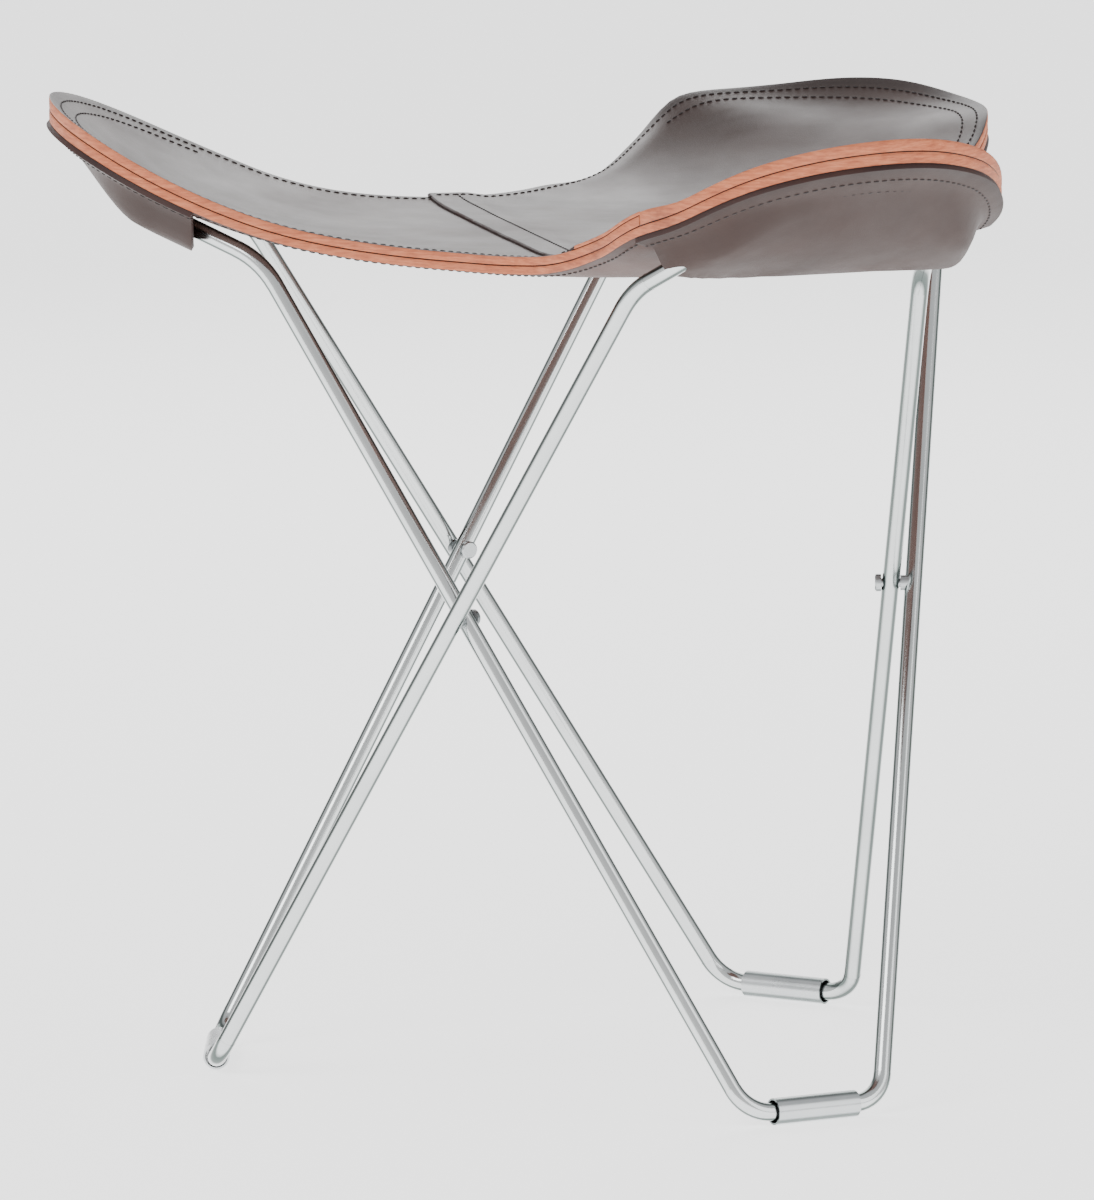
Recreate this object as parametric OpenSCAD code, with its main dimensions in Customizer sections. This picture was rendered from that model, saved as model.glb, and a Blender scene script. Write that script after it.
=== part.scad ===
// Folding stool: a leather saddle with three lobes on six bent steel rods.
// The rods cross in three pairs, pivot on a bolt at each crossing, and meet two by two
// in three loose foot tubes. +Z is up, the floor is z = 0, and the origin is on the
// middle axis. The head lobe points to -X, the front lobe to -Y and the back lobe to +Y.

/* [Frame rods] */
// Diameter of the steel rod
rod_d = 8; // [6:0.5:10]
// Distance from the middle axis to the line of each foot bar
foot_reach = 177; // [140:1:215]
// Half the distance between the two corners of a foot bar
foot_half = 34.5; // [31:0.5:45]
// Distance from the middle axis to the upper bends
top_reach = 159; // [130:1:195]
// Half the distance between the two rods of a lobe at their upper bends
top_half = 77; // [60:1:90]
// Height of the upper bends' corners
bend_height = 376; // [310:1:450]
// Clear gap between two rods where they cross
rod_gap = 2.4; // [1.6:0.1:4]
// Centreline radius of the bend at the foot
foot_bend_r = 18; // [12:1:20]
// Centreline radius of the upper bend
top_bend_r = 40; // [25:1:60]
// Length of the rod past the corner of the upper bend
tip_length = 50; // [44:1:54]
// Rise of the inner rods' tips above level, in degrees
tip_slope = 22; // [18:1:28]
// How much steeper the outer rods' tips rise, in degrees
outer_tip_lift = 6; // [4:0.5:8]
// Turn of the rod tips towards the middle of their lobe, in degrees
tip_toe_in = 22; // [18:1:26]
// Chamfer on the cut ends of the rods
rod_chamfer = 0.8; // [0.4:0.1:1.2]

/* [Foot tubes] */
// Outer diameter of a foot tube
tube_d = 12; // [11.6:0.2:14]
// Clearance all round between a rod and the bore of its foot tube
tube_play = 1.2; // [1.1:0.05:1.4]
// Length of a foot tube
tube_length = 42; // [36:0.5:50]
// How far each rod end reaches into its foot tube
rod_insert = 10; // [8:0.5:11]

/* [Pivots] */
// Diameter of the pivot bolt
bolt_d = 4; // [3:0.5:4.5]
// Running clearance all round between the bolt and the rod that turns on it
bolt_play = 0.05; // [0.03:0.01:0.09]
// How far the bolt's thread goes into the outer rod
bolt_bite = 6.4; // [4.5:0.1:6.6]
// Diameter of the bolt head
head_d = 8; // [6.5:0.5:9]
// Height of the bolt head
head_h = 2.8; // [2:0.1:4]
// Diameter of the spacer between two crossing rods
spacer_d = 7; // [6:0.5:9]
// Gap that lets the inner rod turn against the spacer and the head
turn_gap = 0.4; // [0.35:0.05:0.6]

/* [Leather seat] */
// Thickness of the top leather
top_leather = 4.2; // [3:0.1:5]
// Thickness of the lining under it
lining_leather = 4; // [2.5:0.1:5]
// Radius of the level middle of the seat
level_r = 100; // [80:1:125]
// Radius of the upward curve of the lobes
rise_r = 220; // [185:1:265]
// How far a lobe reaches past the upper bends
lobe_past = 93; // [88:1:104]
// Radius of the curved end of a lobe
lobe_end_r = 110; // [100:1:130]
// Radius of the corners of a lobe
lobe_corner_r = 75; // [60:1:85]
// Distance from the middle axis to the waist between two lobes
waist_reach = 128; // [118:1:138]
// Radius of the waist's curve
waist_r = 160; // [145:1:180]
// Gap between the rod tips and the leather
tip_gap = 0.3; // [0.2:0.05:1]
// Distance from the middle axis to the seam between the two top panels
seam_offset = 54; // [40:1:70]
// Turn of the seam, in degrees
seam_turn = 15; // [0:1:25]
// Width of the lap where the wing panel lies on the head panel
lap_width = 16; // [10:1:22]
// Thickness of the skived lap
lap_leather = 1.8; // [1.2:0.1:2.5]

/* [Pockets] */
// Depth of a pocket, from the end of its lobe to its mouth
pocket_depth = 68; // [62:1:74]
// Thickness of the pocket leather
pocket_leather = 3; // [2:0.1:4]
// Slack between the rod tips and the floor of a pocket
pocket_slack = 0.8; // [0.4:0.1:4]
// Width of the stitched rim round a pocket
pocket_rim = 9; // [7:0.5:11]

/* [Hidden] */

steel = [0.78, 0.80, 0.81];
bolt_steel = [0.62, 0.64, 0.66];
dark_leather = [0.30, 0.20, 0.17];
lining_brown = [0.36, 0.23, 0.18];
pocket_brown = [0.27, 0.18, 0.15];

round_fn = 64;      // facets OpenSCAD draws on round steel
bend_d = rod_d * 1.016;  // the bends are a hair thicker, so that a straight length ends inside them
seat_in = 0.3;          // how far a straight length reaches into a bend
profile_steps = 22; // straight steps along the seat's rising curve
arc_steps = 9;      // points on each arc of the seat's outline
eps = 0.02;         // overlap that joins two solids of one piece

left = 180;   // direction of each lobe and foot, in degrees
front = -60;
back = 60;

rod_r = rod_d / 2;
tube_r = tube_d / 2;
cross_pitch = rod_d + rod_gap;  // distance between the centrelines of crossing rods
leather = top_leather + lining_leather;
far = 1000;                     // larger than the whole stool

// ---- vectors ----
function level(direction) = [cos(direction), sin(direction), 0];
function sideways(direction) = [-sin(direction), cos(direction), 0];
function unit(v) = v / norm(v);
function matrix_of(x, y, z, origin) = [
    [x[0], y[0], z[0], origin[0]],
    [x[1], y[1], z[1], origin[1]],
    [x[2], y[2], z[2], origin[2]],
    [0, 0, 0, 1]
];

// +1 where the other foot lies anticlockwise of this one, -1 where it lies clockwise
function turn_to(from, to) = sin(to - from) > 0 ? 1 : -1;

// Outward direction, square to the vertical plane in which the pair of rods crosses
function outward(from, to) = unit(level(from) + level(to));

// ---- corners of a rod that stands in foot `from` and ends under lobe `to` ----
// side is +1 for the outer rod of a crossing pair and -1 for the inner one
function along_bar(from, to) = turn_to(from, to) * sideways(from);
function side_shift(from, to, side) =
    side * cross_pitch / 2 / (outward(from, to) * along_bar(from, to));
function ideal_foot(from, to) =
    foot_reach * level(from) + foot_half * along_bar(from, to) + [0, 0, tube_r];
function ideal_top(from, to) =
    top_reach * level(to) - top_half * turn_to(from, to) * sideways(to) + [0, 0, bend_height];
function foot_corner(from, to, side) =
    ideal_foot(from, to) + side_shift(from, to, side) * along_bar(from, to);
function rod_way(from, to) = unit(ideal_top(from, to) - ideal_foot(from, to));
function rod_run(from, to) = norm(ideal_top(from, to) - ideal_foot(from, to));
function top_corner(from, to, side) =
    foot_corner(from, to, side) + rod_run(from, to) * rod_way(from, to);
function tip_rise(side) = tip_slope + (side > 0 ? outer_tip_lift : 0);
function tip_way(from, to, side) =
    cos(tip_rise(side)) * level(to + turn_to(from, to) * tip_toe_in) + [0, 0, sin(tip_rise(side))];
function tip_end(from, to, side) =
    top_corner(from, to, side) + tip_length * tip_way(from, to, side);

// Distance from a corner to where its bend begins
function bend_reach(d1, d2, r) = r * tan(acos(d1 * d2) / 2);

// Middle of a foot tube: halfway between the two corners of its bar
function tube_middle(foot, next, previous) =
    (foot_corner(foot, next, 1) + foot_corner(foot, previous, -1)) / 2;

// Height and place of a crossing, on the centreline of the rod
function cross_share(from, to) =
    let (
        across = unit(level(to) - level(from)),
        a = foot_corner(from, to, 1) * across,
        b = foot_corner(to, from, -1) * across,
        climb = rod_way(from, to) * across
    )
    (b - a) / 2 / climb;
function cross_point(from, to, side) =
    foot_corner(from, to, side) + cross_share(from, to) * rod_way(from, to);

// ---- seat height: the lining just clears the rod tips ----
function tip_point(side, share) =
    top_corner(left, front, side) * (1 - share) + tip_end(left, front, side) * share;
function reach_of(p) = norm([p[0], p[1]]);
function curve_middle_over(p) =
    p[2] + sqrt(pow(rise_r + leather + rod_r + tip_gap, 2) - pow(max(0, reach_of(p) - level_r), 2));
curve_height = max([for (side = [-1, 1]) for (share = [0.1 : 0.05 : 1])
    curve_middle_over(tip_point(side, share))]);
seat_height = curve_height - rise_r;
lobe_reach = top_reach + lobe_past;
mouth_reach = lobe_reach - pocket_depth;

// ---- pocket room: the floor of a pocket just clears the rod tips ----
function depth_under_lining(p) =
    norm([max(0, reach_of(p) - level_r), curve_height - p[2]]) - rise_r - leather;
pocket_room = pocket_slack + rod_r + max([for (side = [-1, 1]) for (share = [0 : 0.05 : 1])
    let (p = tip_point(side, share)) if (p * level(front) > mouth_reach - rod_d) depth_under_lining(p)]);

// ---- steel shapes ----
module rod_between(p, q, d) {
    z = unit(q - p);
    x = unit(cross(abs(z[2]) < 0.9 ? [0, 0, 1] : [1, 0, 0], z));
    multmatrix(matrix_of(x, cross(z, x), z, p))
        cylinder(h = norm(q - p), d = d, $fn = round_fn);
}

// Straight length of rod with a chamfer on its cut end at p
module cut_length(p, q) {
    z = unit(q - p);
    x = unit(cross([0, 0, 1], z));
    long = norm(q - p);
    multmatrix(matrix_of(x, cross(z, x), z, p))
        rotate_extrude($fn = round_fn)
            polygon([[0, 0], [rod_r - rod_chamfer, 0], [rod_r, rod_chamfer], [rod_r, long], [0, long]]);
}

// Bend that joins direction d1 to direction d2 round a corner
module bend(corner, d1, d2, r) {
    start = corner - d1 * bend_reach(d1, d2, r);
    inward = unit(d2 - d1 * (d1 * d2));
    middle = start + inward * r;
    multmatrix(matrix_of(-inward, d1, cross(-inward, d1), middle))
        rotate_extrude(angle = acos(d1 * d2), $fn = 2 * round_fn)
            translate([r, 0])
                circle(d = bend_d, $fn = round_fn);
}

module rod_body(from, to, side) {
    bar = along_bar(from, to);
    way = rod_way(from, to);
    tip = tip_way(from, to, side);
    foot = foot_corner(from, to, side);
    top = top_corner(from, to, side);
    end = tip_end(from, to, side);
    foot_cut = bend_reach(bar, way, foot_bend_r);
    top_cut = bend_reach(way, tip, top_bend_r);
    mouth = foot - bar * (foot_half - tube_length / 2);
    cut_length(mouth - bar * rod_insert, foot - bar * (foot_cut - seat_in));
    bend(foot, bar, way, foot_bend_r);
    rod_between(foot + way * (foot_cut - seat_in), top - way * (top_cut - seat_in), rod_d);
    bend(top, way, tip, top_bend_r);
    cut_length(end, top + tip * (top_cut - seat_in));
}

// The outer rod has a blind threaded hole, the inner rod a hole right through
module rod(from, to, side) {
    out = outward(from, to);
    at = cross_point(from, to, side);
    color(steel)
        difference() {
            rod_body(from, to, side);
            if (side > 0)
                rod_between(at - out * rod_d, at + out * (bolt_bite - rod_r), bolt_d);
            else
                rod_between(at - out * rod_d, at + out * rod_d, bolt_d + 2 * bolt_play);
        }
}

module foot_tube(foot, next, previous) {
    bar = sideways(foot);
    middle = tube_middle(foot, next, previous);
    half = bar * tube_length / 2;
    color(steel)
        difference() {
            rod_between(middle - half, middle + half, tube_d);
            rod_between(middle - half - bar, middle + half + bar, rod_d + 2 * tube_play);
        }
}

// Bolt from the inner side, through the inner rod and the spacer, into the outer rod
module pivot_bolt(from, to) {
    out = outward(from, to);
    outer = cross_point(from, to, 1);
    inner = outer - out * cross_pitch;
    under_head = inner - out * (rod_r + turn_gap);
    head_rim = 0.6;
    color(bolt_steel) {
        rod_between(under_head - out * eps, outer + out * (bolt_bite - rod_r), bolt_d);
        rod_between(under_head - out * (head_h - head_rim), under_head, head_d);
        multmatrix(matrix_of(unit(cross([0, 0, 1], -out)), [0, 0, 1], -out,
                             under_head - out * (head_h - head_rim)))
            cylinder(h = head_rim, r1 = head_d / 2, r2 = head_d / 2 - head_rim, $fn = round_fn);
    }
}

// Spacer with a saddle that sits on the outer rod and a flat face towards the inner one
module spacer(from, to) {
    out = outward(from, to);
    way = rod_way(from, to);
    outer = cross_point(from, to, 1);
    flat_face = outer - out * (rod_r + rod_gap - turn_gap);
    color(bolt_steel)
        difference() {
            rod_between(flat_face, outer - out * rod_r / 2, spacer_d);
            rod_between(outer - way * spacer_d * 2, outer + way * spacer_d * 2, rod_d);
            rod_between(flat_face - out, outer, bolt_d);
        }
}

// ---- seat outline, seen from above ----
// All three lobes are alike: a shallow end arc, two rounded corners and two waists.
end_middle = lobe_reach - lobe_end_r;
waist_middle = waist_reach + waist_r;
waist_spot = waist_middle * [cos(60), sin(60)];
corner_a = lobe_end_r - lobe_corner_r;   // corner circle to end circle
corner_b = waist_r + lobe_corner_r;      // corner circle to waist circle
corner_span = norm(waist_spot - [end_middle, 0]);
corner_share = (corner_a * corner_a - corner_b * corner_b + corner_span * corner_span) / 2 / corner_span;
corner_rise = sqrt(corner_a * corner_a - corner_share * corner_share);
span_way = (waist_spot - [end_middle, 0]) / corner_span;
corner_spot = [end_middle, 0] + corner_share * span_way + corner_rise * [span_way[1], -span_way[0]];

function angle_of(v) = atan2(v[1], v[0]);
function arc_points(middle, r, a, b) =
    [for (k = [0 : arc_steps]) middle + r * [cos(a + (b - a) * k / arc_steps), sin(a + (b - a) * k / arc_steps)]];
function half_lobe(inset) =
    let (
        end_angle = angle_of(corner_spot - [end_middle, 0]),
        waist_angle = angle_of(corner_spot - waist_spot)
    )
    concat(
        arc_points([end_middle, 0], lobe_end_r - inset, 0, end_angle),
        [for (p = arc_points(corner_spot, lobe_corner_r - inset, end_angle, waist_angle + 180)) p],
        [for (p = arc_points(waist_spot, waist_r + inset, waist_angle < 0 ? waist_angle + 360 : waist_angle, 240)) p]
    );
function turned(p, angle) = [p[0] * cos(angle) - p[1] * sin(angle), p[0] * sin(angle) + p[1] * cos(angle)];
function mirrored(points) = [for (k = [len(points) - 1 : -1 : 0]) [points[k][0], -points[k][1]]];
function tidy(points) =
    [for (k = [0 : len(points) - 1]) if (norm(points[k] - points[(k + 1) % len(points)]) > 0.05) points[k]];
function lobe(inset) = concat(mirrored(half_lobe(inset)), half_lobe(inset));
function outline(inset) =
    tidy([for (direction = [front, back, left]) for (p = lobe(inset)) turned(p, direction)]);

// ---- seat layers ----
// A layer lies between two depths under the top face, measured square to it
function curve_profile(depth) =
    let (reach = lobe_reach + lobe_end_r / 3, r = rise_r + depth, steep = asin((reach - level_r) / r))
    [for (k = [0 : profile_steps])
        [level_r + r * sin(steep * k / profile_steps), curve_height - r * cos(steep * k / profile_steps)]];
module layer(upper, lower) {
    top = curve_profile(upper);
    low = curve_profile(lower);
    rotate_extrude($fn = 3 * round_fn)
        polygon(concat(
            [[0, top[0][1]]], top,
            [for (k = [profile_steps : -1 : 0]) low[k]], [[0, low[0][1]]]
        ));
}

module prism(points) {
    translate([0, 0, curve_height - 2 * rise_r])
        linear_extrude(height = 3 * rise_r)
            polygon(points);
}

// Everything on the wing side of the seam, past `beyond` from its edge
module wing_side(beyond) {
    rotate([0, 0, seam_turn])
        translate([beyond - seam_offset, -far / 2, 0])
            cube([far, far, far]);
}

module seat_head_panel() {
    color(dark_leather)
        difference() {
            intersection() {
                layer(0, top_leather);
                prism(outline(0));
            }
            wing_side(lap_width);
        }
}

module seat_wing_panel() {
    color(dark_leather)
        union() {
            intersection() {
                layer(0, top_leather);
                prism(outline(0));
                wing_side(lap_width);
            }
            intersection() {
                layer(-lap_leather, 0);
                prism(outline(0));
                wing_side(0);
                rotate([0, 0, seam_turn])
                    translate([-seam_offset, -far / 2, 0])
                        cube([2 * lap_width, far, far]);
            }
        }
}

module seat_lining() {
    color(lining_brown)
        intersection() {
            layer(top_leather, leather);
            prism(outline(0));
        }
}

// Past the pocket's mouth, on one lobe
module lobe_side(direction, beyond) {
    rotate([0, 0, direction])
        translate([beyond, -far / 2, 0])
            cube([far, far, far]);
}

module pocket(direction) {
    floor_depth = leather + pocket_room;
    wall = pocket_leather;
    color(pocket_brown)
        union() {
            intersection() {
                layer(leather, leather + pocket_leather);
                difference() {
                    prism(outline(0));
                    prism(outline(pocket_rim));
                }
                lobe_side(direction, mouth_reach);
            }
            intersection() {
                layer(leather, floor_depth + pocket_leather);
                difference() {
                    prism(outline(pocket_rim - wall));
                    prism(outline(pocket_rim));
                }
                lobe_side(direction, mouth_reach);
            }
            intersection() {
                layer(floor_depth, floor_depth + pocket_leather);
                prism(outline(pocket_rim - wall));
                lobe_side(direction, mouth_reach);
            }
        }
}

foot_tube(left, front, back);  // foot_tube_left
foot_tube(front, back, left);  // foot_tube_front
foot_tube(back, left, front);  // foot_tube_back
rod(left, front, 1);  // rod_left_to_front
rod(left, back, -1);  // rod_left_to_back
rod(front, left, -1);  // rod_front_to_left
rod(front, back, 1);  // rod_front_to_back
rod(back, left, 1);  // rod_back_to_left
rod(back, front, -1);  // rod_back_to_front
pivot_bolt(left, front);  // pivot_bolt_left_front
pivot_bolt(front, back);  // pivot_bolt_front_back
pivot_bolt(back, left);  // pivot_bolt_back_left
spacer(left, front);  // spacer_left_front
spacer(front, back);  // spacer_front_back
spacer(back, left);  // spacer_back_left
seat_head_panel();
seat_wing_panel();
seat_lining();
pocket(left);  // pocket_left
pocket(front);  // pocket_front
pocket(back);  // pocket_back
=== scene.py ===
import bpy
import bmesh
from math import atan2, cos, degrees, hypot, pi, radians, sin, sqrt
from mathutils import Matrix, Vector, noise


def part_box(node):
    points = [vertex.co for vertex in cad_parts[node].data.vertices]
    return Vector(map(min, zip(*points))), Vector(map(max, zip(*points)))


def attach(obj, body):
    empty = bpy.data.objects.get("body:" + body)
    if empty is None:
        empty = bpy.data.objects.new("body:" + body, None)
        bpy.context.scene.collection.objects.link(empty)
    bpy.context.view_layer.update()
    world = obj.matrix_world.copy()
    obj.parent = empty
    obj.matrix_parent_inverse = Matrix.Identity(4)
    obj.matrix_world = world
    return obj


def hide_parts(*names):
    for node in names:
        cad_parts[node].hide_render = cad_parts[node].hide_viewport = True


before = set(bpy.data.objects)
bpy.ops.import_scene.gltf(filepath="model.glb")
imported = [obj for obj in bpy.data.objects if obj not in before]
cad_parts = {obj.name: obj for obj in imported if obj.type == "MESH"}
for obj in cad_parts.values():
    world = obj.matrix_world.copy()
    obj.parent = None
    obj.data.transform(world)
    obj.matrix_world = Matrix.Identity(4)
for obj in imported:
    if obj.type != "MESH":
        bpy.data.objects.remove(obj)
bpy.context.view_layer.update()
mm = 0.001

# The seat as it is cut: three equal lobes round a level middle
seat = {
    "levelR": 100 * mm,      # level middle
    "riseR": 220 * mm,       # curve of the rising lobes
    "topThick": 4.2 * mm,
    "liningThick": 4.0 * mm,
    "lobeReach": 252 * mm,
    "lobeEndR": 110 * mm,
    "cornerR": 75 * mm,
    "waistReach": 128 * mm,
    "waistR": 160 * mm,
    "directions": {"left": 180, "front": -60, "back": 60},
    "seamOffset": 54 * mm,
    "seamTurn": 15,
    "lapWidth": 16 * mm,
    "lapThick": 1.8 * mm,
}
# the level middle of the top face, read from the lining's underside
seat["topZ"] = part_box("seat_lining")[0].z + seat["topThick"] + seat["liningThick"]
seat["curveZ"] = seat["topZ"] + seat["riseR"]
fullLeather = seat["topThick"] + seat["liningThick"]


# ---------------------------------------------------------------- materials
def shaderTree(name):
    material = bpy.data.materials.new(name)
    material.use_nodes = True
    nodes, links = material.node_tree.nodes, material.node_tree.links
    shader = nodes["Principled BSDF"]
    return material, nodes, links, shader


def ramp(nodes, stops):
    node = nodes.new("ShaderNodeValToRGB")
    bar = node.color_ramp
    while len(bar.elements) < len(stops):
        bar.elements.new(0.5)
    for element, (place, colour) in zip(bar.elements, stops):
        element.position = place
        element.color = (*colour, 1)
    return node


def groupWith(name, inputs, outputs):
    group = bpy.data.node_groups.new(name, "ShaderNodeTree")
    for label, kind, value in inputs:
        socket = group.interface.new_socket(name=label, in_out="INPUT", socket_type=kind)
        if value is not None:
            socket.default_value = value
    for label, kind in outputs:
        group.interface.new_socket(name=label, in_out="OUTPUT", socket_type=kind)
    return group, group.nodes.new("NodeGroupInput"), group.nodes.new("NodeGroupOutput")


def makeLeatherGrain():
    # pores and fine creases as a height, and slow patches of tone as a value from 0 to 1
    group, enter, leave = groupWith(
        "leatherGrain",
        [("Vector", "NodeSocketVector", None), ("Pore Scale", "NodeSocketFloat", 900.0),
         ("Crease Scale", "NodeSocketFloat", 160.0), ("Patch Scale", "NodeSocketFloat", 14.0),
         ("Crease Share", "NodeSocketFloat", 0.45)],
        [("Height", "NodeSocketFloat"), ("Patch", "NodeSocketFloat"), ("Fine", "NodeSocketFloat")])
    n, l = group.nodes, group.links
    pores = n.new("ShaderNodeTexVoronoi")
    pores.feature = "DISTANCE_TO_EDGE"
    poreRise = n.new("ShaderNodeMapRange")
    poreRise.inputs["From Max"].default_value = 0.22
    creases = n.new("ShaderNodeTexNoise")
    creases.inputs["Detail"].default_value = 5
    creases.inputs["Roughness"].default_value = 0.6
    creases.inputs["Distortion"].default_value = 0.5
    patches = n.new("ShaderNodeTexNoise")
    patches.inputs["Detail"].default_value = 4
    patches.inputs["Roughness"].default_value = 0.55
    join = n.new("ShaderNodeMix")
    l.new(enter.outputs["Vector"], pores.inputs["Vector"])
    l.new(enter.outputs["Vector"], creases.inputs["Vector"])
    l.new(enter.outputs["Vector"], patches.inputs["Vector"])
    l.new(enter.outputs["Pore Scale"], pores.inputs["Scale"])
    l.new(enter.outputs["Crease Scale"], creases.inputs["Scale"])
    l.new(enter.outputs["Patch Scale"], patches.inputs["Scale"])
    l.new(pores.outputs["Distance"], poreRise.inputs["Value"])
    l.new(enter.outputs["Crease Share"], join.inputs["Factor"])
    l.new(poreRise.outputs["Result"], join.inputs["A"])
    l.new(creases.outputs["Fac"], join.inputs["B"])
    l.new(join.outputs["Result"], leave.inputs["Height"])
    l.new(patches.outputs["Fac"], leave.inputs["Patch"])
    l.new(creases.outputs["Fac"], leave.inputs["Fine"])
    return group


def makeHandling():
    # smears and fine rub marks: a value that lifts roughness, and a height for the marks
    group, enter, leave = groupWith(
        "handlingMarks",
        [("Vector", "NodeSocketVector", None), ("Smear Scale", "NodeSocketFloat", 22.0),
         ("Mark Scale", "NodeSocketFloat", 420.0), ("Low", "NodeSocketFloat", 0.1),
         ("High", "NodeSocketFloat", 0.3)],
        [("Roughness", "NodeSocketFloat"), ("Height", "NodeSocketFloat"), ("Smear", "NodeSocketFloat")])
    n, l = group.nodes, group.links
    smear = n.new("ShaderNodeTexNoise")
    smear.inputs["Detail"].default_value = 6
    smear.inputs["Roughness"].default_value = 0.62
    marks = n.new("ShaderNodeTexNoise")
    marks.inputs["Detail"].default_value = 3
    spread = n.new("ShaderNodeMapRange")
    spread.inputs["From Min"].default_value = 0.32
    spread.inputs["From Max"].default_value = 0.68
    l.new(enter.outputs["Vector"], smear.inputs["Vector"])
    l.new(enter.outputs["Vector"], marks.inputs["Vector"])
    l.new(enter.outputs["Smear Scale"], smear.inputs["Scale"])
    l.new(enter.outputs["Mark Scale"], marks.inputs["Scale"])
    l.new(smear.outputs["Fac"], spread.inputs["Value"])
    l.new(enter.outputs["Low"], spread.inputs["To Min"])
    l.new(enter.outputs["High"], spread.inputs["To Max"])
    l.new(spread.outputs["Result"], leave.inputs["Roughness"])
    l.new(marks.outputs["Fac"], leave.inputs["Height"])
    l.new(smear.outputs["Fac"], leave.inputs["Smear"])
    return group


leatherGrain = makeLeatherGrain()
handlingMarks = makeHandling()


def useGroup(nodes, links, group, **values):
    node = nodes.new("ShaderNodeGroup")
    node.node_tree = group
    for label, value in values.items():
        node.inputs[label.replace("_", " ")].default_value = value
    place = nodes.new("ShaderNodeTexCoord")
    links.new(place.outputs["Object"], node.inputs["Vector"])
    return node


def bumpInto(nodes, links, shader, height, strength, distance):
    bump = nodes.new("ShaderNodeBump")
    bump.inputs["Strength"].default_value = strength
    bump.inputs["Distance"].default_value = distance
    links.new(height, bump.inputs["Height"])
    links.new(bump.outputs["Normal"], shader.inputs["Normal"])


def leatherMaterial(look):
    material, nodes, links, shader = shaderTree(look["name"])
    grain = useGroup(nodes, links, leatherGrain, Pore_Scale=look["pore"], Crease_Scale=look["crease"],
                     Patch_Scale=look["patch"], Crease_Share=look["creaseShare"])
    marks = useGroup(nodes, links, handlingMarks, Smear_Scale=look["smear"], Mark_Scale=500.0,
                     Low=look["rough"][0], High=look["rough"][1])
    tone = ramp(nodes, look["tones"])
    links.new(grain.outputs["Patch"], tone.inputs["Fac"])
    # the pressed rim outside the stitch line is darker
    rim = nodes.new("ShaderNodeAttribute")
    rim.attribute_name = "rim"
    darker = nodes.new("ShaderNodeMix")
    darker.data_type = "RGBA"
    darker.blend_type = "MULTIPLY"
    darker.inputs["B"].default_value = (*look["rimTint"], 1)
    links.new(rim.outputs["Fac"], darker.inputs["Factor"])
    links.new(tone.outputs["Color"], darker.inputs["A"])
    links.new(darker.outputs["Result"], shader.inputs["Base Color"])
    links.new(marks.outputs["Roughness"], shader.inputs["Roughness"])
    shader.inputs["IOR"].default_value = look["ior"]
    shader.inputs["Coat Weight"].default_value = look["coat"]
    shader.inputs["Coat Roughness"].default_value = look["coatRough"]
    bumpInto(nodes, links, shader, grain.outputs["Height"], look["bump"], 0.0003)
    return material


def rawEdgeMaterial(look):
    # cut fibres: short streaks along the edge with darker flecks, and smears of dye in patches
    material, nodes, links, shader = shaderTree(look["name"])
    place = nodes.new("ShaderNodeTexCoord")
    stretch = nodes.new("ShaderNodeMapping")
    stretch.inputs["Scale"].default_value = (120, 120, 900)
    fibres = nodes.new("ShaderNodeTexNoise")
    fibres.inputs["Scale"].default_value = 1.0
    fibres.inputs["Detail"].default_value = 6
    fibres.inputs["Roughness"].default_value = 0.7
    links.new(place.outputs["Object"], stretch.inputs["Vector"])
    links.new(stretch.outputs["Vector"], fibres.inputs["Vector"])
    tone = ramp(nodes, look["tones"])
    links.new(fibres.outputs["Fac"], tone.inputs["Fac"])
    marks = useGroup(nodes, links, handlingMarks, Smear_Scale=26.0, Mark_Scale=700.0, Low=0.55, High=0.8)
    stain = ramp(nodes, look["stains"])
    links.new(marks.outputs["Smear"], stain.inputs["Fac"])
    mixed = nodes.new("ShaderNodeMix")
    mixed.data_type = "RGBA"
    mixed.blend_type = "MULTIPLY"
    mixed.inputs["Factor"].default_value = 1.0
    links.new(tone.outputs["Color"], mixed.inputs["A"])
    links.new(stain.outputs["Color"], mixed.inputs["B"])
    links.new(mixed.outputs["Result"], shader.inputs["Base Color"])
    links.new(marks.outputs["Roughness"], shader.inputs["Roughness"])
    bumpInto(nodes, links, shader, fibres.outputs["Fac"], 0.5, 0.0004)
    return material


def steelMaterial(look):
    material, nodes, links, shader = shaderTree(look["name"])
    marks = useGroup(nodes, links, handlingMarks, Smear_Scale=look["smear"], Mark_Scale=look["mark"],
                     Low=look["rough"][0], High=look["rough"][1])
    tone = ramp(nodes, look["tones"])
    links.new(marks.outputs["Smear"], tone.inputs["Fac"])
    # painted reflection: the base colour is darkened by viewing angle in a band near each edge of a rod, to
    # stand in for the chrome mirroring the dark of the room beside the object
    facing = nodes.new("ShaderNodeLayerWeight")
    facing.inputs["Blend"].default_value = 0.5
    paintedReflectionBand = ramp(nodes, [(0.0, (1, 1, 1)), (0.3, (0.95, 0.96, 0.96)), (0.42, look["paintedReflectionBand"]),
                        (0.62, look["paintedReflectionBand"]), (0.78, (1, 1, 1))])
    links.new(facing.outputs["Facing"], paintedReflectionBand.inputs["Fac"])
    withPaintedReflection = nodes.new("ShaderNodeMix")
    withPaintedReflection.data_type = "RGBA"
    withPaintedReflection.blend_type = "MULTIPLY"
    withPaintedReflection.inputs["Factor"].default_value = 1.0
    links.new(tone.outputs["Color"], withPaintedReflection.inputs["A"])
    links.new(paintedReflectionBand.outputs["Color"], withPaintedReflection.inputs["B"])
    links.new(withPaintedReflection.outputs["Result"], shader.inputs["Base Color"])
    shader.inputs["Metallic"].default_value = 1.0
    links.new(marks.outputs["Roughness"], shader.inputs["Roughness"])
    bumpInto(nodes, links, shader, marks.outputs["Height"], look["bump"], 0.00008)
    return material


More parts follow.
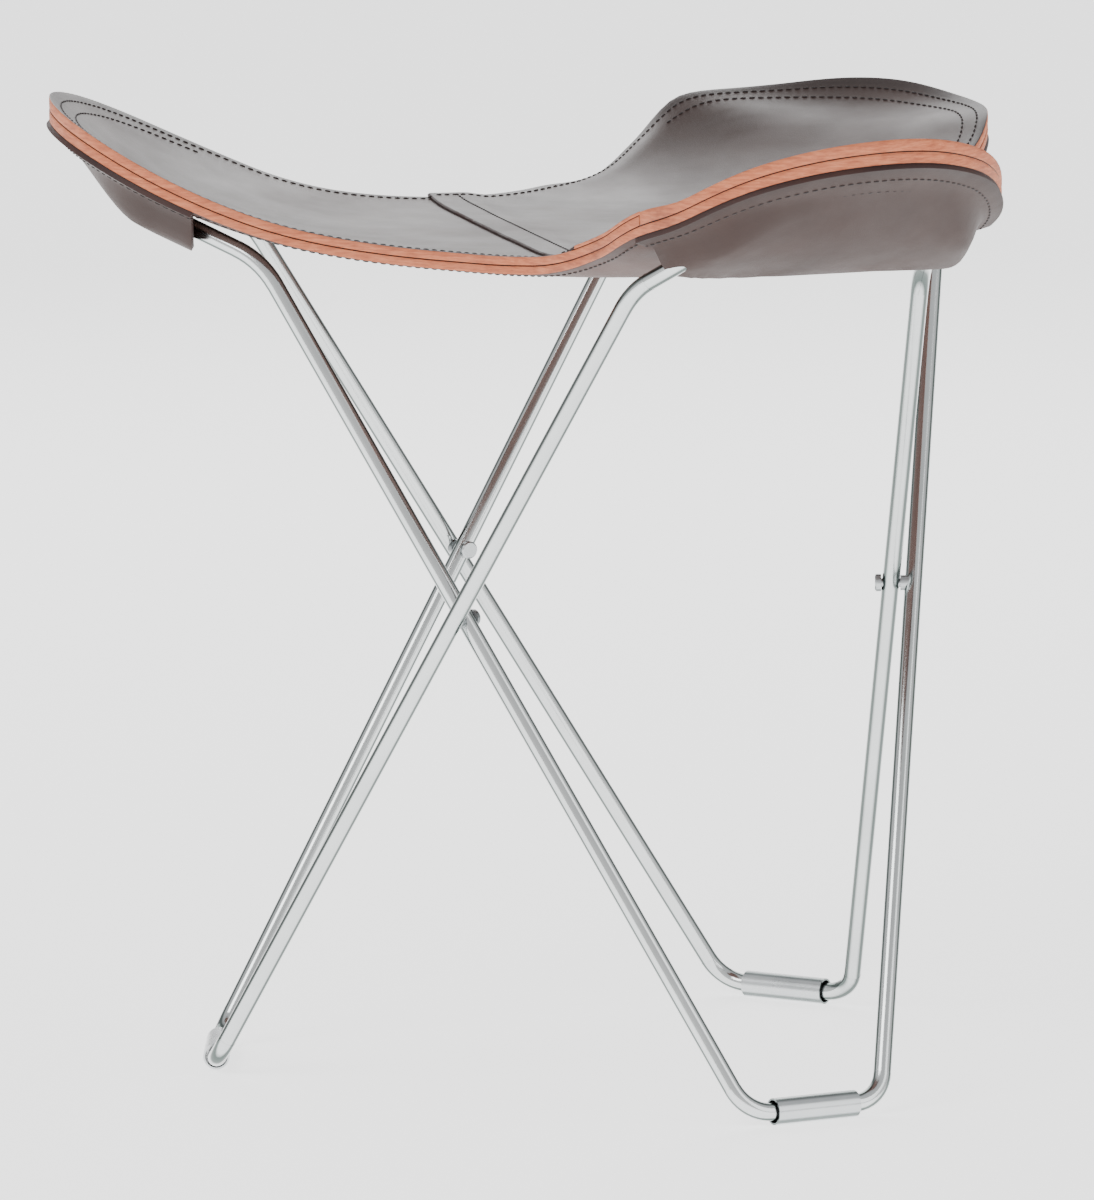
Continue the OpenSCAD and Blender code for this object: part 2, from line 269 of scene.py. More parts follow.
def threadMaterial(look):
    material, nodes, links, shader = shaderTree(look["name"])
    marks = useGroup(nodes, links, handlingMarks, Smear_Scale=90.0, Mark_Scale=2600.0, Low=0.5, High=0.7)
    tone = ramp(nodes, look["tones"])
    links.new(marks.outputs["Smear"], tone.inputs["Fac"])
    links.new(tone.outputs["Color"], shader.inputs["Base Color"])
    links.new(marks.outputs["Roughness"], shader.inputs["Roughness"])
    bumpInto(nodes, links, shader, marks.outputs["Height"], 0.5, 0.0002)
    return material


topLeather = leatherMaterial({
    "name": "topLeather", "pore": 1100.0, "crease": 190.0, "patch": 16.0, "creaseShare": 0.5, "smear": 20.0,
    "rough": (0.36, 0.5), "ior": 1.5, "coat": 0.12, "coatRough": 0.3, "bump": 0.16,
    "tones": [(0.3, (0.030, 0.014, 0.010)), (0.52, (0.042, 0.020, 0.015)), (0.72, (0.058, 0.029, 0.022))],
    "rimTint": (0.55, 0.5, 0.5)})
liningLeather = leatherMaterial({
    "name": "liningLeather", "pore": 900.0, "crease": 240.0, "patch": 22.0, "creaseShare": 0.6, "smear": 26.0,
    "rough": (0.5, 0.66), "ior": 1.48, "coat": 0.0, "coatRough": 0.4, "bump": 0.2,
    "tones": [(0.3, (0.050, 0.019, 0.013)), (0.55, (0.064, 0.026, 0.018)), (0.75, (0.080, 0.034, 0.024))],
    "rimTint": (0.7, 0.62, 0.6)})
# the pockets' leather: its own dark brown, with the tones lowered further as painted shade for the pockets
# under the seat
shadedPocketLeather = leatherMaterial({
    "name": "shadedPocketLeather", "pore": 1000.0, "crease": 210.0, "patch": 18.0, "creaseShare": 0.55,
    "smear": 24.0, "rough": (0.46, 0.62), "ior": 1.48, "coat": 0.0, "coatRough": 0.4, "bump": 0.18,
    "tones": [(0.3, (0.024, 0.009, 0.006)), (0.55, (0.032, 0.013, 0.009)), (0.75, (0.040, 0.017, 0.012))],
    "rimTint": (0.7, 0.62, 0.6)})
rawEdge = rawEdgeMaterial({
    "name": "rawEdge",
    "tones": [(0.28, (0.30, 0.075, 0.034)), (0.5, (0.50, 0.145, 0.062)), (0.74, (0.66, 0.235, 0.115))],
    "stains": [(0.28, (0.62, 0.56, 0.55)), (0.42, (1.0, 1.0, 1.0)), (1.0, (1.0, 0.97, 0.94))]})
darkEdge = leatherMaterial({
    "name": "darkEdge", "pore": 1400.0, "crease": 420.0, "patch": 40.0, "creaseShare": 0.7, "smear": 40.0,
    "rough": (0.5, 0.7), "ior": 1.45, "coat": 0.0, "coatRough": 0.4, "bump": 0.3,
    "tones": [(0.3, (0.024, 0.008, 0.007)), (0.55, (0.036, 0.013, 0.010)), (0.8, (0.055, 0.020, 0.015))],
    "rimTint": (1.0, 1.0, 1.0)})
thread = threadMaterial({
    "name": "thread",
    "tones": [(0.3, (0.012, 0.008, 0.008)), (0.7, (0.030, 0.019, 0.017))]})
# each steel look gives the colour of its painted reflection, the dark band near a rod's edges
rodSteel = steelMaterial({
    "name": "rodSteel", "smear": 18.0, "mark": 520.0,
    "rough": (0.12, 0.2), "bump": 0.05, "paintedReflectionBand": (0.16, 0.19, 0.18),
    "tones": [(0.3, (0.66, 0.68, 0.68)), (0.7, (0.76, 0.78, 0.78))]})
tubeSteel = steelMaterial({
    "name": "tubeSteel", "smear": 30.0, "mark": 600.0,
    "rough": (0.2, 0.32), "bump": 0.08, "paintedReflectionBand": (0.3, 0.33, 0.32),
    "tones": [(0.3, (0.60, 0.62, 0.63)), (0.7, (0.70, 0.72, 0.73))]})
boltSteel = steelMaterial({
    "name": "boltSteel", "smear": 40.0, "mark": 900.0,
    "rough": (0.24, 0.4), "bump": 0.12, "paintedReflectionBand": (0.35, 0.37, 0.37),
    "tones": [(0.3, (0.46, 0.48, 0.49)), (0.7, (0.58, 0.60, 0.61))]})
print("stool: materials made")


# ---------------------------------------------------------------- seat outline
endMiddle = seat["lobeReach"] - seat["lobeEndR"]
waistMiddle = seat["waistReach"] + seat["waistR"]
waistSpot = (waistMiddle * cos(radians(60)), waistMiddle * sin(radians(60)))


def cornerSpotOf():
    a, b = seat["lobeEndR"] - seat["cornerR"], seat["waistR"] + seat["cornerR"]
    dx, dy = waistSpot[0] - endMiddle, waistSpot[1]
    span = hypot(dx, dy)
    share = (a * a - b * b + span * span) / 2 / span
    rise = sqrt(a * a - share * share)
    return endMiddle + share * dx / span + rise * dy / span, share * dy / span - rise * dx / span


cornerSpot = cornerSpotOf()
steps = {"end": 14, "corner": 16, "waist": 26}


def arc(middle, r, a, b, count):
    return [(middle[0] + r * cos(a + (b - a) * k / count), middle[1] + r * sin(a + (b - a) * k / count))
            for k in range(count + 1)]


def halfLobe(inset):
    endAngle = atan2(cornerSpot[1], cornerSpot[0] - endMiddle)
    waistAngle = atan2(cornerSpot[1] - waistSpot[1], cornerSpot[0] - waistSpot[0])
    out = arc((endMiddle, 0), seat["lobeEndR"] - inset, 0, endAngle, steps["end"])
    out += arc(cornerSpot, seat["cornerR"] - inset, endAngle, waistAngle + pi, steps["corner"])[1:]
    fromAngle = waistAngle + 2 * pi if waistAngle < 0 else waistAngle
    out += arc(waistSpot, seat["waistR"] + inset, fromAngle, radians(240), steps["waist"])[1:]
    return out


def turned(p, angle):
    c, s = cos(radians(angle)), sin(radians(angle))
    return p[0] * c - p[1] * s, p[0] * s + p[1] * c


def outline(inset):
    half = halfLobe(inset)
    lobe = [(x, -y) for x, y in reversed(half)][:-1] + half
    ring = []
    for angle in (-60, 60, 180):
        ring += [turned(p, angle) for p in lobe[:-1]]
    return ring


def smoothStep(a, b, v):
    t = max(0.0, min(1.0, (v - a) / (b - a)))
    return t * t * (3 - 2 * t)


# how use has bent the lobes: end lift, then the lift of the flank on the side of the outer rod
handled = {
    "back": {"end": -15 * mm, "flank": -13 * mm, "side": 1, "from": 76 * mm, "to": 104 * mm},
    "front": {"end": 4 * mm, "flank": 3 * mm, "side": -1, "from": 50 * mm, "to": 95 * mm},
}


def bentBy(x, y):
    lift = 0.0
    for lobe, bend in handled.items():
        angle = radians(seat["directions"][lobe])
        along, across = x * cos(angle) + y * sin(angle), -x * sin(angle) + y * cos(angle)
        lift += bend["end"] * smoothStep(200 * mm, 250 * mm, along)
        window = smoothStep(100 * mm, 150 * mm, along) * (1 - smoothStep(180 * mm, 215 * mm, along))
        lift += bend["flank"] * smoothStep(bend["from"], bend["to"], across * bend["side"]) * window
    return lift


def faceHeight(x, y, depth):
    # height of the face that lies depth under the top face, measured square to it
    reach = hypot(x, y)
    r = seat["riseR"] + depth
    if reach <= seat["levelR"]:
        z = seat["curveZ"] - r
    else:
        z = seat["curveZ"] - sqrt(r * r - (reach - seat["levelR"]) ** 2)
    # the hide is never quite even
    wave = noise.noise(Vector((x * 9, y * 9, 0.3))) * 0.9 + noise.noise(Vector((x * 26, y * 26, 1.7))) * 0.25
    return z + wave * mm * min(1.0, reach / 0.06) + bentBy(x, y)


def seamPlace(x, y):
    # distance past the seam, towards the wings
    turn = radians(seat["seamTurn"])
    return x * cos(turn) + y * sin(turn) + seat["seamOffset"]


innerInsets = [3.2, 5.3, 7.4, 10, 13, 16, 19.5, 23]


def ringsTo(outer):
    # plan rings from the edge inwards; outer is a list of insets in mm at the rounded edge
    rings = [outline(v * mm) for v in outer]
    rings += [outline(v * mm) for v in innerInsets if v > outer[-1] + 0.5]
    last = rings[-1]
    for share in (0.955, 0.9, 0.84, 0.77, 0.69, 0.6, 0.5, 0.4, 0.3, 0.2, 0.1):
        rings.append([(x * share, y * share) for x, y in last])
    return rings


def layerMesh(name, upper, lower, rounding, materials):
    # a closed sheet between two depths, with a rounded cut edge; slots are face, edge and underside
    r = rounding
    topRings = ringsTo([0.08 * r, 0.3 * r, 0.65 * r, r])
    mesh = bpy.data.meshes.new(name)
    bm = bmesh.new()
    rimLayer = bm.verts.layers.float.new("rim")
    count = len(topRings[0])

    def addRing(points, zOf, rimValue):
        made = []
        for x, y in points:
            v = bm.verts.new((x, y, zOf(x, y)))
            v[rimLayer] = rimValue
            made.append(v)
        return made

    def bridge(a, b, slot):
        for k in range(count):
            q = (k + 1) % count
            face = bm.faces.new((a[k], a[q], b[q], b[k]))
            face.material_index = slot
            face.smooth = True

    drops = [0.62 * r, 0.3 * r, 0.1 * r, 0.0]
    insets = [0.08 * r, 0.3 * r, 0.65 * r, r] + [v for v in innerInsets if v > r + 0.5]

    def faceRing(k, ring, depth, sign):
        drop = drops[k] * mm if k < len(drops) else 0
        inset = insets[k] if k < len(insets) else 60
        rim = 1.0 if inset < 4.5 else (0.55 if inset < 5.5 else 0.0)
        return addRing(ring, lambda x, y: faceHeight(x, y, depth) + sign * drop, rim)

    above = [faceRing(k, ring, upper, -1) for k, ring in enumerate(topRings)]
    for k in range(len(above) - 1):
        bridge(above[k], above[k + 1], 1 if k < 1 else 0)
    middle = bm.verts.new((0, 0, faceHeight(0, 0, upper)))
    for k in range(count):
        face = bm.faces.new((above[-1][k], above[-1][(k + 1) % count], middle))
        face.smooth = True
        face.material_index = 0

    def wallRing(share):
        def height(x, y):
            return faceHeight(x, y, upper + (lower - upper) * share) - (1 - share) * r * mm * 0.4
        return addRing(outline(0), height, 1.0)

    wall = [wallRing(0.32), wallRing(0.66)]
    below = [faceRing(k, ring, lower, 1) for k, ring in enumerate(topRings)]
    bridge(wall[0], above[0], 1)
    bridge(wall[1], wall[0], 1)
    bridge(below[0], wall[1], 1)
    for k in range(len(below) - 1):
        bridge(below[k + 1], below[k], 1 if k < 1 else 2)
    under = bm.verts.new((0, 0, faceHeight(0, 0, lower)))
    for k in range(count):
        face = bm.faces.new((below[-1][(k + 1) % count], below[-1][k], under))
        face.smooth = True
        face.material_index = 2
    bmesh.ops.recalc_face_normals(bm, faces=bm.faces)
    bm.to_mesh(mesh)
    bm.free()
    for material in materials:
        mesh.materials.append(material)
    return mesh


def seamCut(bm, place, keepWing):
    turn = radians(seat["seamTurn"])
    normal = Vector((cos(turn), sin(turn), 0))
    point = normal * (place - seat["seamOffset"])
    geom = list(bm.verts) + list(bm.edges) + list(bm.faces)
    cut = bmesh.ops.bisect_plane(bm, geom=geom, plane_co=point, plane_no=normal,
                                 clear_inner=keepWing is True, clear_outer=keepWing is False)
    return [e for e in cut["geom_cut"] if isinstance(e, bmesh.types.BMEdge)]


def closeCut(bm, slot):
    rims = [e for e in bm.edges if e.is_boundary]
    made = bmesh.ops.triangle_fill(bm, edges=rims, use_beauty=True)["geom"]
    for face in made:
        if isinstance(face, bmesh.types.BMFace):
            face.material_index = slot
    bmesh.ops.recalc_face_normals(bm, faces=bm.faces)


def newPiece(name, mesh, nodeNames, body="seat"):
    piece = bpy.data.objects.new(name, mesh)
    bpy.context.scene.collection.objects.link(piece)
    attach(piece, body)
    if nodeNames:
        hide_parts(*nodeNames)
    return piece


def makeHeadPanel():
    mesh = layerMesh("headPanel", 0, seat["topThick"], 0.9, [topLeather, rawEdge, liningLeather])
    bm = bmesh.new()
    bm.from_mesh(mesh)
    seamCut(bm, seat["lapWidth"] - 0.2 * mm, False)
    closeCut(bm, 1)
    bm.to_mesh(mesh)
    bm.free()
    return newPiece("headPanel", mesh, ["seat_head_panel"])


def makeWingPanel():
    mesh = layerMesh("wingPanel", 0, seat["topThick"], 0.9, [topLeather, rawEdge, liningLeather, darkEdge])
    bm = bmesh.new()
    bm.from_mesh(mesh)
    rimLayer = bm.verts.layers.float["rim"]
    lap = seat["lapWidth"]
    for place in (lap * 2, lap * 1.5, lap * 1.25, lap, lap - 0.15 * mm,
                  lap * 0.55, 1.4 * mm, 0.6 * mm, 0.25 * mm):
        seamCut(bm, place, None)
    seamCut(bm, 0, True)
    closeCut(bm, 3)
    for v in bm.verts:
        past = seamPlace(v.co.x, v.co.y)
        top = faceHeight(v.co.x, v.co.y, 0)
        low = faceHeight(v.co.x, v.co.y, seat["topThick"])
        share = (v.co.z - low) / max(top - low, 1e-6)   # 1 on the top face, 0 on the underside
        lift = seat["lapThick"] * (1 - smoothStep(lap * 1.05, lap * 1.9, past))
        # a skived lap: its edge is rounded over, and its underside lies on the head panel
        roundOver = 0.7 * mm * (1 - smoothStep(0, 1.3 * mm, past)) ** 2
        if past < lap - 0.1 * mm:
            v.co.z = top + 0.03 * mm + max(0.0, share) * (lift - 0.03 * mm - roundOver)
            if past < 2.2 * mm:
                v[rimLayer] = 0.9
        else:
            v.co.z += lift * max(0.0, min(1.0, share))
    for face in bm.faces:
        middle = face.calc_center_median()
        if seamPlace(middle.x, middle.y) < 0.45 * mm:
            face.material_index = 3
            face.smooth = False
    bm.to_mesh(mesh)
    bm.free()
    return newPiece("wingPanel", mesh, ["seat_wing_panel"])


def makeLining():
    mesh = layerMesh("lining", seat["topThick"] + 0.04 * mm, fullLeather, 0.8,
                     [liningLeather, rawEdge, liningLeather])
    return newPiece("lining", mesh, ["seat_lining"])


headPanel = makeHeadPanel()
wingPanel = makeWingPanel()
lining = makeLining()
print("stool: panels and lining made")


# ---------------------------------------------------------------- pockets
pocketLook = {
    "depth": 68 * mm,       # from the lobe's end to the mouth
    "thick": 2.4 * mm,
    "rim": 9,               # flat stitched rim, mm
    "slack": 0.7 * mm,      # room between the rods and the pocket's floor
    "sag": 2.6 * mm,        # how much the pocket draws up between the two rods
    "closes": 43 * mm,      # from the lobe's end to where the pocket starts to close
    "bow": 5 * mm,          # how far the mouth's edge bows in
    "insets": [0.35, 0.6, 1.4, 3.5, 6, 9, 11, 12.8, 14.6, 16.4, 18.2, 20, 22, 24],
}
# the two rod tips in every lobe, from their upper bends; slopes by side, 1 for the outer rod, in degrees
tips = {"bendReach": 159 * mm, "bendHalf": 77 * mm, "bendZ": 376 * mm, "length": 50 * mm, "toeIn": 22,
        "slope": {1: 28, -1: 22}, "rodR": 4 * mm}


def roomFor(side, along):
    # depth of the pocket's floor under the lining, below the tip on this side, at this reach along the lobe
    rise, toeIn = radians(tips["slope"][side]), radians(tips["toeIn"])
    run = (along - tips["bendReach"]) / (cos(rise) * cos(toeIn))
    run = max(6 * mm, min(tips["length"], run))
    z = tips["bendZ"] + run * sin(rise)
    u = tips["bendReach"] + run * cos(rise) * cos(toeIn)
    v = tips["bendHalf"] - run * cos(rise) * sin(toeIn)
    fromCurve = sqrt((hypot(u, v) - seat["levelR"]) ** 2 + (seat["curveZ"] - z) ** 2)
    below = fromCurve - seat["riseR"] - fullLeather
    return max(2 * tips["rodR"], below + tips["rodR"]) + pocketLook["slack"], v


def makePocket(name, direction):
    look = pocketLook
    rings = [outline(v * mm) for v in look["insets"]]
    last = rings[-1]
    insets = list(look["insets"])
    for share in (0.96, 0.92, 0.88, 0.84, 0.80, 0.76, 0.72, 0.68, 0.64, 0.60):
        rings.append([(x * share, y * share) for x, y in last])
        insets.append(24 + (1 - share) * 240)
    bm = bmesh.new()
    rimLayer = bm.verts.layers.float.new("rim")
    c, s = cos(radians(direction)), sin(radians(direction))

    def drop(x, y, inset):
        along, across = x * c + y * s, -x * s + y * c
        # the steeper, outer rod is on the negative side of every lobe
        side = 1 if across < 0 else -1
        room, place = roomFor(side, along)
        other, _ = roomFor(-side, along)
        # straight from rod to rod and drawn up a little in the middle; outside the rods it runs up to the rim
        share = max(0.0, min(1.0, abs(across) / place))
        deep = room * (0.5 + share / 2) + other * (0.5 - share / 2) - look["sag"] * (1 - share * share)
        deep *= 1 - smoothStep(place + 3 * mm, place + 18 * mm, abs(across)) * 0.55
        closing = smoothStep(seat["lobeReach"] - look["rim"] * mm, seat["lobeReach"] - look["closes"], along)
        return deep * closing * smoothStep(look["rim"] + 0.4, look["rim"] + 7.5, inset)

    made = []
    for ring, inset in zip(rings, insets):
        row = []
        for x, y in ring:
            v = bm.verts.new((x, y, faceHeight(x, y, fullLeather + drop(x, y, inset)) - 0.05 * mm))
            v[rimLayer] = 1.0 if inset < 3 else (0.4 if inset < 5 else 0.0)
            row.append(v)
        made.append(row)
    count = len(rings[0])
    for a, b in zip(made, made[1:]):
        for k in range(count):
            q = (k + 1) % count
            bm.faces.new((a[k], b[k], b[q], a[q])).smooth = True
    # keep what lies past the mouth; the mouth's edge bows in a little
    mouth = seat["lobeReach"] - look["depth"]
    bmesh.ops.bisect_plane(bm, geom=list(bm.verts) + list(bm.edges) + list(bm.faces),
                           plane_co=(c * mouth, s * mouth, 0), plane_no=(c, s, 0), clear_inner=True)
    for v in bm.verts:
        along, across = v.co.x * c + v.co.y * s, -v.co.x * s + v.co.y * c
        near = 1 - smoothStep(mouth, mouth + 22 * mm, along)
        bow = look["bow"] * max(0.0, 1 - (across / (70 * mm)) ** 2) * near
        v.co.x += c * bow
        v.co.y += s * bow
        v.co.z += bow * 0.42
    bmesh.ops.recalc_face_normals(bm, faces=bm.faces)
    up = sum(f.normal.z for f in bm.faces)
    if up > 0:
        bmesh.ops.reverse_faces(bm, faces=bm.faces)
    mesh = bpy.data.meshes.new(name)
    bm.to_mesh(mesh)
    bm.free()
    mesh.materials.append(shadedPocketLeather)
    mesh.materials.append(darkEdge)
    piece = bpy.data.objects.new(name, mesh)
    bpy.context.scene.collection.objects.link(piece)
    wall = piece.modifiers.new("wall", "SOLIDIFY")
    wall.thickness = look["thick"]
    wall.offset = 1.0
    wall.use_even_offset = False
    wall.material_offset_rim = 1
    soften = piece.modifiers.new("soften", "BEVEL")
    soften.width = 0.5 * mm
    soften.segments = 2
    soften.limit_method = "ANGLE"
    soften.angle_limit = radians(50)
    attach(piece, "seat")
    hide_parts(name.replace("pocketPiece", "pocket_").lower())
    return piece


for lobeName, direction in seat["directions"].items():
    makePocket("pocketPiece" + lobeName.capitalize(), direction)
print("stool: pockets made")


# ---------------------------------------------------------------- stitches
def stitchTree():
    tree = bpy.data.node_groups.new("stitchRow", "GeometryNodeTree")
    tree.interface.new_socket(name="Geometry", in_out="INPUT", socket_type="NodeSocketGeometry")
    for label, value in (("Pitch", 0.0041), ("Length", 0.0029), ("Width", 0.0011), ("Height", 0.0008)):
        socket = tree.interface.new_socket(name=label, in_out="INPUT", socket_type="NodeSocketFloat")
        socket.default_value = value
    tree.interface.new_socket(name="Thread", in_out="INPUT", socket_type="NodeSocketMaterial")
    tree.interface.new_socket(name="Geometry", in_out="OUTPUT", socket_type="NodeSocketGeometry")
    n, l = tree.nodes, tree.links
    enter, leave = n.new("NodeGroupInput"), n.new("NodeGroupOutput")
    curve = n.new("GeometryNodeMeshToCurve")
    spaced = n.new("GeometryNodeResampleCurve")
    spaced.mode = "LENGTH"
    l.new(enter.outputs["Geometry"], curve.inputs["Mesh"])
    l.new(curve.outputs["Curve"], spaced.inputs["Curve"])
    l.new(enter.outputs["Pitch"], spaced.inputs["Length"])
    ball = n.new("GeometryNodeMeshUVSphere")
    ball.inputs["Segments"].default_value = 8
    ball.inputs["Rings"].default_value = 6
    ball.inputs["Radius"].default_value = 0.5
    size = n.new("ShaderNodeCombineXYZ")
    l.new(enter.outputs["Width"], size.inputs["X"])
    l.new(enter.outputs["Height"], size.inputs["Y"])
    l.new(enter.outputs["Length"], size.inputs["Z"])
    shape = n.new("GeometryNodeTransform")
    l.new(ball.outputs["Mesh"], shape.inputs["Geometry"])
    l.new(size.outputs["Vector"], shape.inputs["Scale"])
    along = n.new("GeometryNodeInputTangent")
    aim = n.new("FunctionNodeAlignRotationToVector")
    aim.axis = "Z"
    l.new(along.outputs["Tangent"], aim.inputs["Vector"])
    upright = n.new("FunctionNodeAlignRotationToVector")
    upright.axis = "Y"
    upright.pivot_axis = "Z"
    upright.inputs["Vector"].default_value = (0, 0, 1)
    l.new(aim.outputs["Rotation"], upright.inputs["Rotation"])
    lay = n.new("GeometryNodeInstanceOnPoints")
    l.new(spaced.outputs["Curve"], lay.inputs["Points"])
    l.new(shape.outputs["Geometry"], lay.inputs["Instance"])
    l.new(upright.outputs["Rotation"], lay.inputs["Rotation"])
    real = n.new("GeometryNodeRealizeInstances")
    paint = n.new("GeometryNodeSetMaterial")
    l.new(lay.outputs["Instances"], real.inputs["Geometry"])
    l.new(real.outputs["Geometry"], paint.inputs["Geometry"])
    l.new(enter.outputs["Thread"], paint.inputs["Material"])
    l.new(paint.outputs["Geometry"], leave.inputs["Geometry"])
    return tree


def socketKey(tree, label):
    return next(s.identifier for s in tree.interface.items_tree if s.name == label and s.in_out == "INPUT")


stitches = stitchTree()
stitchLook = {"Pitch": 0.0041, "Length": 0.0028, "Width": 0.0011, "Height": 0.0009}


def stitchPiece(name, paths):
    mesh = bpy.data.meshes.new(name + "Path")
    points, edges = [], []
    for path, closed in paths:
        start = len(points)
        points += path
        edges += [(start + k, start + k + 1) for k in range(len(path) - 1)]
        if closed:
            edges.append((start + len(path) - 1, start))
    mesh.from_pydata(points, edges, [])
    holder = bpy.data.objects.new(name + "Holder", mesh)
    bpy.context.scene.collection.objects.link(holder)
    modifier = holder.modifiers.new("stitches", "NODES")
    modifier.node_group = stitches
    for label, value in stitchLook.items():
        modifier[socketKey(stitches, label)] = value
    modifier[socketKey(stitches, "Thread")] = thread
    dg = bpy.context.evaluated_depsgraph_get()
    made = bpy.data.meshes.new_from_object(holder.evaluated_get(dg))
    made.name = name
    bpy.data.objects.remove(holder)
    for face in made.polygons:
        face.use_smooth = True
    print("stool:", name, len(made.polygons), "faces")
    return newPiece(name, made, [])


def lobeRow(inset, direction, mouth):
    # the part of an inset outline that lies on one lobe past the mouth, in order
    c, s = cos(radians(direction)), sin(radians(direction))
    ring = outline(inset)
    start = max(range(len(ring)), key=lambda k: -(ring[k][0] * c + ring[k][1] * s))
    ring = ring[start:] + ring[:start]
    return [p for p in ring if p[0] * c + p[1] * s > mouth]


def seamRow(place):
    # straight across the seat at one distance past the seam, kept inside the rim
    turn = radians(seat["seamTurn"])
    n, t = (cos(turn), sin(turn)), (-sin(turn), cos(turn))
    base = place - seat["seamOffset"]
    edge = outline(5.5 * mm)
    spots = []
    for k in range(len(edge)):
        a, b = edge[k - 1], edge[k]
        da, db = a[0] * n[0] + a[1] * n[1] - base, b[0] * n[0] + b[1] * n[1] - base
        if da * db < 0:
            f = da / (da - db)
            p = (a[0] + (b[0] - a[0]) * f, a[1] + (b[1] - a[1]) * f)
            spots.append(p[0] * t[0] + p[1] * t[1])
    near = [v for v in spots if v < 0]
    past = [v for v in spots if v >= 0]
    low, high = max(near), min(past)
    count = 60
    return [(n[0] * base + t[0] * (low + (high - low) * k / count),
             n[1] * base + t[1] * (low + (high - low) * k / count)) for k in range(count + 1)]


rowInset = 5.3 * mm
pocketRow = 12.0 * mm
mouthReach = seat["lobeReach"] - pocketLook["depth"]


def liftedFace(points):
    out = []
    lap = seat["lapWidth"]
    for x, y in points:
        past = seamPlace(x, y)
        lift = seat["lapThick"] * (1 - smoothStep(lap * 1.05, lap * 1.9, past)) if past > 0 else 0
        out.append((x, y, faceHeight(x, y, 0) + lift + 0.1 * mm))
    return out


topRows = [(liftedFace(outline(rowInset)), True)]
for direction in seat["directions"].values():
    topRows.append((liftedFace(lobeRow(pocketRow, direction, mouthReach + 2 * mm)), False))
topRows.append((liftedFace(seamRow(13.5 * mm)), False))
stitchesTop = stitchPiece("stitchesTop", topRows)


def underRow(points, pocketed):
    # a little under the leather's underside, or under the pocket's rim where it is stitched on
    return [(x, y, faceHeight(x, y, fullLeather + pocketLook["thick"] * on) - 0.12 * mm)
            for (x, y), on in zip(points, pocketed)]


underRows = []
ring = outline(rowInset)
lobeOf = [any(p[0] * cos(radians(d)) + p[1] * sin(radians(d)) > mouthReach
              for d in seat["directions"].values()) for p in ring]
underRows.append((underRow(ring, lobeOf), True))
for direction in seat["directions"].values():
    row = lobeRow(pocketRow, direction, mouthReach + 2 * mm)
    underRows.append((underRow(row, [True] * len(row)), False))
stitchesUnder = stitchPiece("stitchesUnder", underRows)

# ---------------------------------------------------------------- steel
for name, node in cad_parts.items():
    finish = rodSteel if name.startswith("rod_") else tubeSteel if name.startswith("foot_tube") else (
        boltSteel if name.startswith(("pivot_bolt", "spacer")) else None)
    if finish:
        for k in range(len(node.data.materials)):
            node.data.materials[k] = finish
        for face in node.data.polygons:
            face.use_smooth = True
print("stool: steel dressed")

# ---------------------------------------------------------------- floor, light and camera
floorMesh = bpy.data.meshes.new("floor")
floorMesh.from_pydata([(-30, -30, 0), (30, -30, 0), (30, 30, 0), (-30, 30, 0)], [], [(0, 1, 2, 3)])
floor = bpy.data.objects.new("floor", floorMesh)
bpy.context.scene.collection.objects.link(floor)
floorMaterial, floorNodes, floorLinks, floorShader = shaderTree("floorPaint")
floorShader.inputs["Base Color"].default_value = (0.86, 0.86, 0.855, 1)
floorShader.inputs["Roughness"].default_value = 0.85
floorShader.inputs["Emission Color"].default_value = (1, 1, 1, 1)
floorShader.inputs["Emission Strength"].default_value = 1.6
floorMesh.materials.append(floorMaterial)

world = bpy.data.worlds.new("studio")
world.use_nodes = True
worldNodes, worldLinks = world.node_tree.nodes, world.node_tree.links
background = worldNodes["Background"]
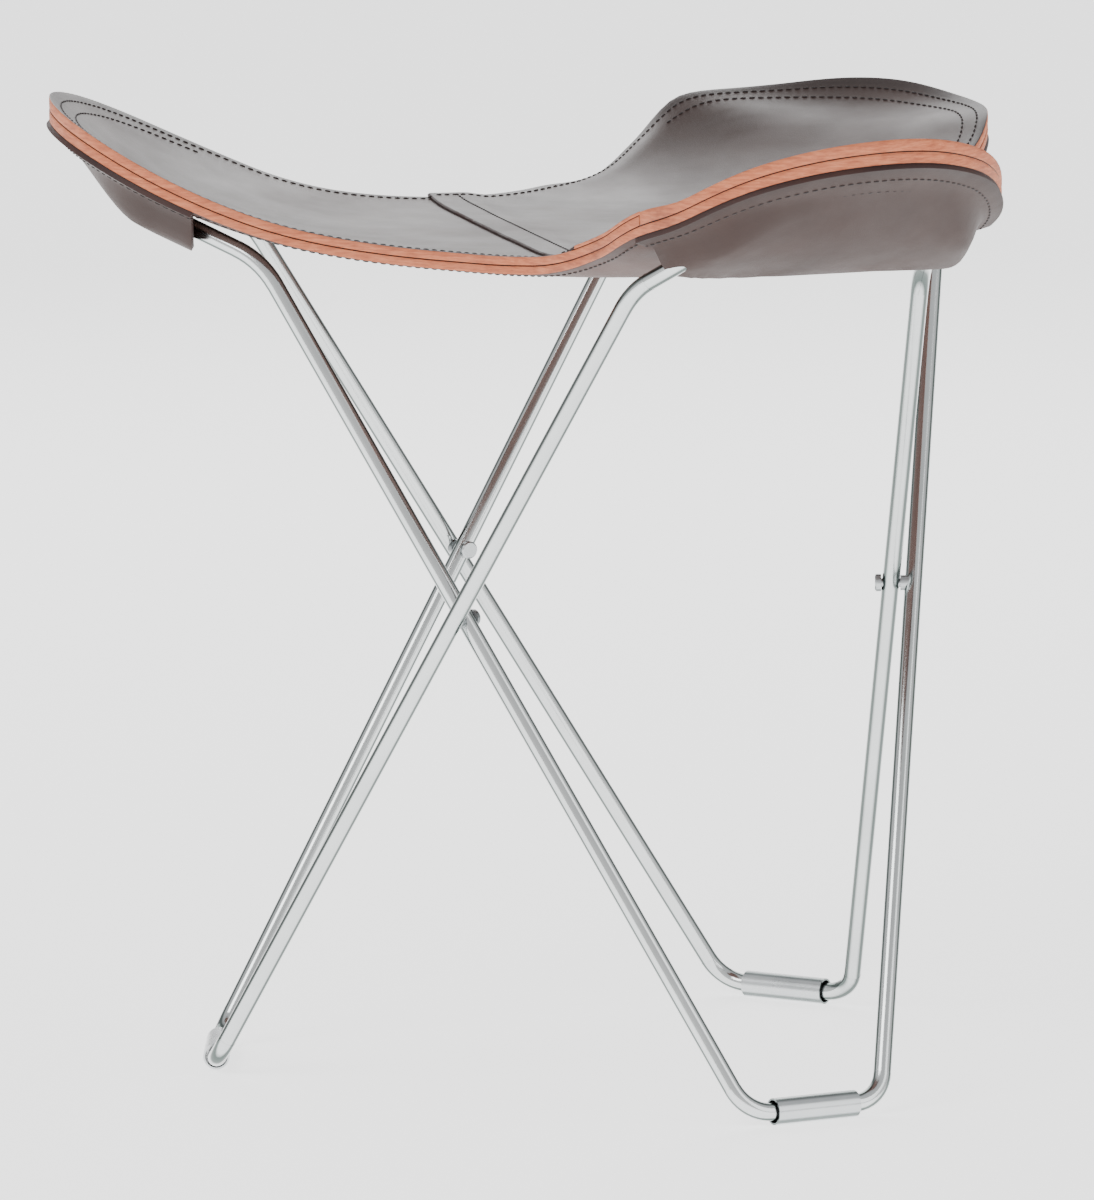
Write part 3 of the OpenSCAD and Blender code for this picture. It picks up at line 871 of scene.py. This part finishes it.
# the camera sees a white backdrop; everything else is lit by a soft sky
plain = worldNodes.new("ShaderNodeBackground")
plain.inputs["Color"].default_value = (1, 1, 1, 1)
plain.inputs["Strength"].default_value = 1.25
rays = worldNodes.new("ShaderNodeLightPath")
choose = worldNodes.new("ShaderNodeMixShader")
worldLinks.new(rays.outputs["Is Camera Ray"], choose.inputs["Fac"])
worldLinks.new(background.outputs["Background"], choose.inputs[1])
worldLinks.new(plain.outputs["Background"], choose.inputs[2])
worldLinks.new(choose.outputs["Shader"], worldNodes["World Output"].inputs["Surface"])
background.inputs["Strength"].default_value = 1.0
skyWay = worldNodes.new("ShaderNodeTexCoord")
split = worldNodes.new("ShaderNodeSeparateXYZ")
worldLinks.new(skyWay.outputs["Generated"], split.inputs["Vector"])
sky = ramp(worldNodes, [(0.0, (0.9, 0.9, 0.9)), (1.0, (0.62, 0.63, 0.64))])
worldLinks.new(split.outputs["Z"], sky.inputs["Fac"])
worldLinks.new(sky.outputs["Color"], background.inputs["Color"])
bpy.context.scene.world = world


def softLight(name, place, aim, width, height, power):
    data = bpy.data.lights.new(name, "AREA")
    data.shape = "RECTANGLE"
    data.size, data.size_y, data.energy = width, height, power
    lamp = bpy.data.objects.new(name, data)
    lamp.location = place
    lamp.rotation_euler = (Vector(aim) - Vector(place)).to_track_quat("-Z", "Y").to_euler()
    bpy.context.scene.collection.objects.link(lamp)
    return lamp


softLight("keyLight", (-1.6, -1.7, 2.2), (0, 0, 0.3), 1.6, 1.6, 34)
softLight("fillLight", (2.2, -1.4, 1.2), (0, 0, 0.25), 1.4, 1.8, 12)
softLight("backLight", (-0.3, 2.3, 1.5), (0, 0, 0.35), 2.4, 1.2, 26)

view = {"place": (42 * mm, -5911.9 * mm, 1081.8 * mm), "yaw": -0.668, "pitch": 8.368, "lens": 394.47}
camData = bpy.data.cameras.new("camera")
camData.sensor_width = 36
camData.lens = view["lens"]
camData.clip_end = 60
camera = bpy.data.objects.new("camera", camData)
camera.location = view["place"]
camera.rotation_euler = (radians(90 - view["pitch"]), 0, radians(-view["yaw"]))
bpy.context.scene.collection.objects.link(camera)
bpy.context.scene.camera = camera
